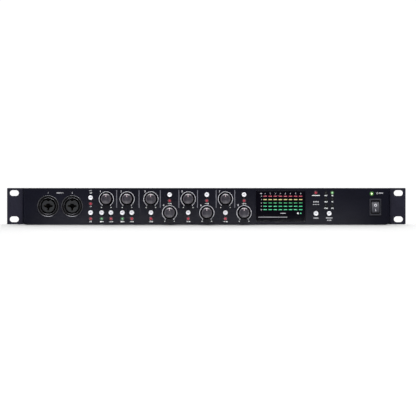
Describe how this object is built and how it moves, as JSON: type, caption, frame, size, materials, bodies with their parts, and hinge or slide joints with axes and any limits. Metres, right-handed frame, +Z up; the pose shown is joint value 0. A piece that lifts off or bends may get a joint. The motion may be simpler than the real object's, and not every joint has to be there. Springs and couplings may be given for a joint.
{
  "type": "rack audio interface",
  "caption": "Low, wide rack-mount audio interface with combination sockets, gain knobs, push buttons, a level meter window and a rocker switch.",
  "frame": {"origin": "under the middle of the overall width and depth, on the flat underside", "axes": "+X to the right seen from the front, +Y from the front to the rear, +Z up"},
  "size_m": [0.4826, 0.26, 0.0444],
  "materials": {
    "fascia_black": "black anodised aluminium, fine satin",
    "ear_black": "matt blue-black powder coat",
    "chassis_black": "matt black powder coat on sheet steel",
    "cover_black": "fine-textured black powder coat on sheet steel",
    "knob_grey": "dark grey soft satin plastic",
    "shaft_steel": "turned steel shaft",
    "button_white": "white moulded plastic, dished face",
    "switch_frame_black": "black moulded plastic",
    "rocker_black": "black moulded plastic, satin face",
    "led_lens": "tinted lens, lit yellow-green",
    "meter_window": "smoked black glossy window",
    "control_board": "green circuit board with controls and light bars soldered on",
    "main_board": "green circuit board with components",
    "supply_board": "tan circuit board with capacitors and a finned heat sink",
    "transformer_core": "laminated steel core with a taped winding",
    "socket_black": "black moulded socket",
    "jack_black": "black moulded jack block with nickel bushings",
    "optical_black": "black moulded optical housing",
    "bayonet_nickel": "nickel-plated bayonet connector",
    "inlet_black": "black moulded mains inlet",
    "ribbon_grey": "grey flat ribbon cable",
    "harness_black": "black sleeved wires"
  },
  "bodies": {
    "chassis": {"chassis_tray": "chassis_black", "sub_panel": "chassis_black", "rear_panel": "chassis_black", "top_cover": "cover_black", "front_panel": "fascia_black", "rack_ear_left": "ear_black", "rack_ear_right": "ear_black", "combo_socket_1": "socket_black", "combo_socket_2": "socket_black", "combo_socket_3": "socket_black", "combo_socket_4": "socket_black", "combo_socket_5": "socket_black", "combo_socket_6": "socket_black", "combo_socket_7": "socket_black", "combo_socket_8": "socket_black", "output_jacks_lower": "jack_black", "output_jacks_upper": "jack_black", "optical_ports": "optical_black", "word_clock_jack": "bayonet_nickel", "mains_inlet": "inlet_black", "switch_frame": "switch_frame_black", "power_led": "led_lens", "meter_window": "meter_window", "control_board": "control_board", "main_board": "main_board", "power_supply_board": "supply_board", "transformer": "transformer_core", "ribbon_cable": "ribbon_grey", "mains_harness": "harness_black"},
    "gain_knob_1": {"gain_knob_1": "knob_grey", "pot_shaft_1": "shaft_steel"},
    "gain_knob_2": {"gain_knob_2": "knob_grey", "pot_shaft_2": "shaft_steel"},
    "gain_knob_3": {"gain_knob_3": "knob_grey", "pot_shaft_3": "shaft_steel"},
    "gain_knob_4": {"gain_knob_4": "knob_grey", "pot_shaft_4": "shaft_steel"},
    "gain_knob_5": {"gain_knob_5": "knob_grey", "pot_shaft_5": "shaft_steel"},
    "gain_knob_6": {"gain_knob_6": "knob_grey", "pot_shaft_6": "shaft_steel"},
    "gain_knob_7": {"gain_knob_7": "knob_grey", "pot_shaft_7": "shaft_steel"},
    "gain_knob_8": {"gain_knob_8": "knob_grey", "pot_shaft_8": "shaft_steel"},
    "phantom_button_low": {"phantom_button_low": "button_white"},
    "phantom_button_high": {"phantom_button_high": "button_white"},
    "inst_button_1": {"inst_button_1": "button_white"},
    "inst_button_2": {"inst_button_2": "button_white"},
    "pad_button_1": {"pad_button_1": "button_white"},
    "pad_button_2": {"pad_button_2": "button_white"},
    "pad_button_3": {"pad_button_3": "button_white"},
    "pad_button_4": {"pad_button_4": "button_white"},
    "pad_button_5": {"pad_button_5": "button_white"},
    "pad_button_6": {"pad_button_6": "button_white"},
    "pad_button_7": {"pad_button_7": "button_white"},
    "pad_button_8": {"pad_button_8": "button_white"},
    "sync_button": {"sync_button": "button_white"},
    "rate_button": {"rate_button": "button_white"},
    "power_rocker": {"power_rocker": "rocker_black"}
  },
  "joints": [
    {"name": "gain_knob_1_turn", "type": "hinge", "parent": "chassis", "child": "gain_knob_1", "pos_m": [-0.1208, -0.1175, 0.0311], "axis": [0, 1, 0], "range_deg": [-150, 150]},
    {"name": "gain_knob_2_turn", "type": "hinge", "parent": "chassis", "child": "gain_knob_2", "pos_m": [-0.0957, -0.1175, 0.0311], "axis": [0, 1, 0], "range_deg": [-150, 150]},
    {"name": "gain_knob_3_turn", "type": "hinge", "parent": "chassis", "child": "gain_knob_3", "pos_m": [-0.0669, -0.1175, 0.0311], "axis": [0, 1, 0], "range_deg": [-150, 150]},
    {"name": "gain_knob_4_turn", "type": "hinge", "parent": "chassis", "child": "gain_knob_4", "pos_m": [-0.0444, -0.1175, 0.0144], "axis": [0, 1, 0], "range_deg": [-150, 150]},
    {"name": "gain_knob_5_turn", "type": "hinge", "parent": "chassis", "child": "gain_knob_5", "pos_m": [-0.0219, -0.1175, 0.0311], "axis": [0, 1, 0], "range_deg": [-150, 150]},
    {"name": "gain_knob_6_turn", "type": "hinge", "parent": "chassis", "child": "gain_knob_6", "pos_m": [0.0006, -0.1175, 0.0144], "axis": [0, 1, 0], "range_deg": [-150, 150]},
    {"name": "gain_knob_7_turn", "type": "hinge", "parent": "chassis", "child": "gain_knob_7", "pos_m": [0.0231, -0.1175, 0.0311], "axis": [0, 1, 0], "range_deg": [-150, 150]},
    {"name": "gain_knob_8_turn", "type": "hinge", "parent": "chassis", "child": "gain_knob_8", "pos_m": [0.0456, -0.1175, 0.0144], "axis": [0, 1, 0], "range_deg": [-150, 150]},
    {"name": "phantom_button_low_press", "type": "slide", "parent": "chassis", "child": "phantom_button_low", "axis": [0, 1, 0], "range_m": [0, 0.0012], "stiffness_N_per_m": 300},
    {"name": "phantom_button_high_press", "type": "slide", "parent": "chassis", "child": "phantom_button_high", "axis": [0, 1, 0], "range_m": [0, 0.0012], "stiffness_N_per_m": 300},
    {"name": "inst_button_1_press", "type": "slide", "parent": "chassis", "child": "inst_button_1", "axis": [0, 1, 0], "range_m": [0, 0.0012], "stiffness_N_per_m": 300},
    {"name": "inst_button_2_press", "type": "slide", "parent": "chassis", "child": "inst_button_2", "axis": [0, 1, 0], "range_m": [0, 0.0012], "stiffness_N_per_m": 300},
    {"name": "pad_button_1_press", "type": "slide", "parent": "chassis", "child": "pad_button_1", "axis": [0, 1, 0], "range_m": [0, 0.0012], "stiffness_N_per_m": 300},
    {"name": "pad_button_2_press", "type": "slide", "parent": "chassis", "child": "pad_button_2", "axis": [0, 1, 0], "range_m": [0, 0.0012], "stiffness_N_per_m": 300},
    {"name": "pad_button_3_press", "type": "slide", "parent": "chassis", "child": "pad_button_3", "axis": [0, 1, 0], "range_m": [0, 0.0012], "stiffness_N_per_m": 300},
    {"name": "pad_button_4_press", "type": "slide", "parent": "chassis", "child": "pad_button_4", "axis": [0, 1, 0], "range_m": [0, 0.0012], "stiffness_N_per_m": 300},
    {"name": "pad_button_5_press", "type": "slide", "parent": "chassis", "child": "pad_button_5", "axis": [0, 1, 0], "range_m": [0, 0.0012], "stiffness_N_per_m": 300},
    {"name": "pad_button_6_press", "type": "slide", "parent": "chassis", "child": "pad_button_6", "axis": [0, 1, 0], "range_m": [0, 0.0012], "stiffness_N_per_m": 300},
    {"name": "pad_button_7_press", "type": "slide", "parent": "chassis", "child": "pad_button_7", "axis": [0, 1, 0], "range_m": [0, 0.0012], "stiffness_N_per_m": 300},
    {"name": "pad_button_8_press", "type": "slide", "parent": "chassis", "child": "pad_button_8", "axis": [0, 1, 0], "range_m": [0, 0.0012], "stiffness_N_per_m": 300},
    {"name": "sync_button_press", "type": "slide", "parent": "chassis", "child": "sync_button", "axis": [0, 1, 0], "range_m": [0, 0.0012], "stiffness_N_per_m": 300},
    {"name": "rate_button_press", "type": "slide", "parent": "chassis", "child": "rate_button", "axis": [0, 1, 0], "range_m": [0, 0.0012], "stiffness_N_per_m": 300},
    {"name": "power_rocker_tilt", "type": "hinge", "parent": "chassis", "child": "power_rocker", "pos_m": [0.2042, -0.1182, 0.0213], "axis": [1, 0, 0], "range_deg": [0, 20]}
  ]
}
